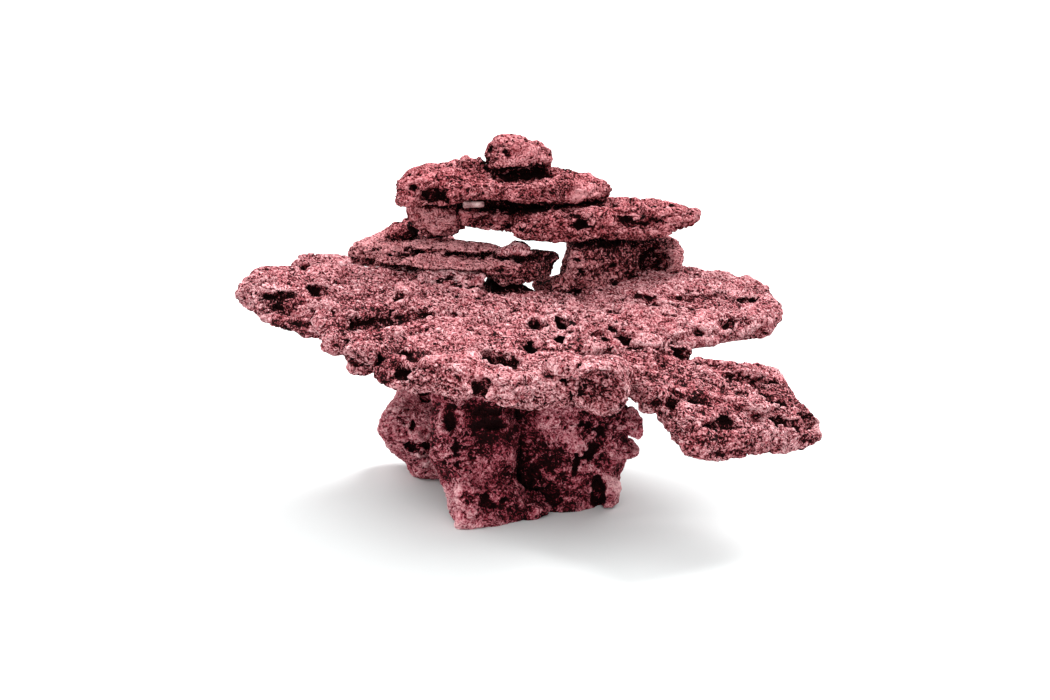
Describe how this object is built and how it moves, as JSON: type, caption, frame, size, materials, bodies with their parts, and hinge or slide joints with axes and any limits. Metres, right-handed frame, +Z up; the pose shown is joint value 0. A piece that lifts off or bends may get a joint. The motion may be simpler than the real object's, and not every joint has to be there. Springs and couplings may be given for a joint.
{
  "type": "dry reef rock scape",
  "caption": "Free-standing reef scape of pitted rose and maroon stones, with broad shelves stacked on three legs and swim-through gaps, to decorate an aquarium",
  "frame": {"origin": "on the floor under the middle of the scape's box", "axes": "+Z up, +X to the right along the scape, and the viewer who faces it stands on the -Y side"},
  "size_m": [0.5258, 0.3632, 0.3188],
  "materials": {
    "rose_stone": "matt, pitted and dusty",
    "maroon_stone": "matt, pitted",
    "pale_pin": "matt"
  },
  "bodies": {
    "root": {"base_front_block": "maroon_stone", "base_right_block": "maroon_stone", "base_left_block": "maroon_stone", "main_shelf": "rose_stone", "right_upper_shelf": "rose_stone", "right_lower_shelf": "rose_stone", "front_cobble": "rose_stone", "left_fin": "rose_stone", "middle_prop": "rose_stone", "rear_prop": "maroon_stone", "middle_shelf": "rose_stone", "small_chock": "rose_stone", "right_pillar": "rose_stone", "neck_stone": "rose_stone", "neck_chip": "rose_stone", "back_slab": "maroon_stone", "right_crown_slab": "rose_stone", "crown_slab": "rose_stone", "cap_stone": "rose_stone", "pale_rod": "pale_pin"}
  },
  "joints": []
}
